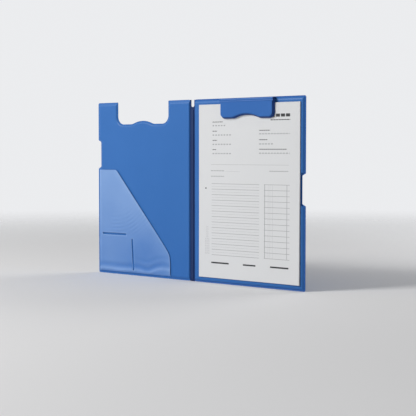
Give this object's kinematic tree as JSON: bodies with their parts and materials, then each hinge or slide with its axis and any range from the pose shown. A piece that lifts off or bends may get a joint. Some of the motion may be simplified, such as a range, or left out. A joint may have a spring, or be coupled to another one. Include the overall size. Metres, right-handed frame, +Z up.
{
  "type": "magnetic clipboard folder",
  "caption": "Film-covered clipboard folder that opens flat: a magnetic back panel with a lift-up clip and forms, a folding spine, and a cover with a clip cut-out and a corner pocket.",
  "frame": {"origin": "centre of the back panel's rear face, which lies on the steel surface that the folder is held to", "axes": "+Z up along the creases, +X from the spine to the back panel's free edge, +Y into the steel surface, so the forms face -Y"},
  "size_m": [0.4662, 0.0116, 0.317],
  "materials": {
    "film": "blue welded plastic film, fine satin grain",
    "spine_film": "blue welded plastic film, worn dark in the creases",
    "pocket_film": "frosted light blue film, slightly wavy",
    "grey_board": "raw grey board",
    "magnet": "sintered ferrite",
    "steel": "zinc-plated strip",
    "paper": "white office paper, cut edges",
    "printed_form": "white office paper with thin grey rules"
  },
  "bodies": {
    "back": {"back_rear_film": "film", "back_board": "grey_board", "wall_magnets": "magnet", "keeper_plate": "steel", "back_front_film": "film", "clip_tail_film": "film", "paper_stack": "paper", "form_sheet": "printed_form"},
    "spine": {"spine_outer_film": "spine_film", "spine_stiffener": "grey_board", "spine_inner_film": "spine_film", "back_crease_strip": "spine_film", "cover_crease_strip": "spine_film"},
    "cover": {"cover_outer_film": "film", "cover_board": "grey_board", "cover_inner_film": "film", "pocket_film": "pocket_film"},
    "clip": {"clip_rear_film": "film", "clip_magnets": "magnet", "clip_core": "grey_board", "clip_front_film": "film", "clip_hinge_strap": "film"}
  },
  "joints": [
    {"name": "spine_fold", "type": "hinge", "parent": "back", "child": "spine", "pos_m": [-0.1161, -0.0004, 0], "axis": [0, 0, 1], "range_deg": [-90, 90]},
    {"name": "cover_fold", "type": "hinge", "parent": "spine", "child": "cover", "pos_m": [-0.1261, -0.0004, 0], "axis": [0, 0, 1], "range_deg": [-90, 90]},
    {"name": "clip_lift", "type": "hinge", "parent": "back", "child": "clip", "pos_m": [0.002, -0.0018, 0.1569], "axis": [-1, 0, 0], "range_deg": [0, 90]}
  ]
}
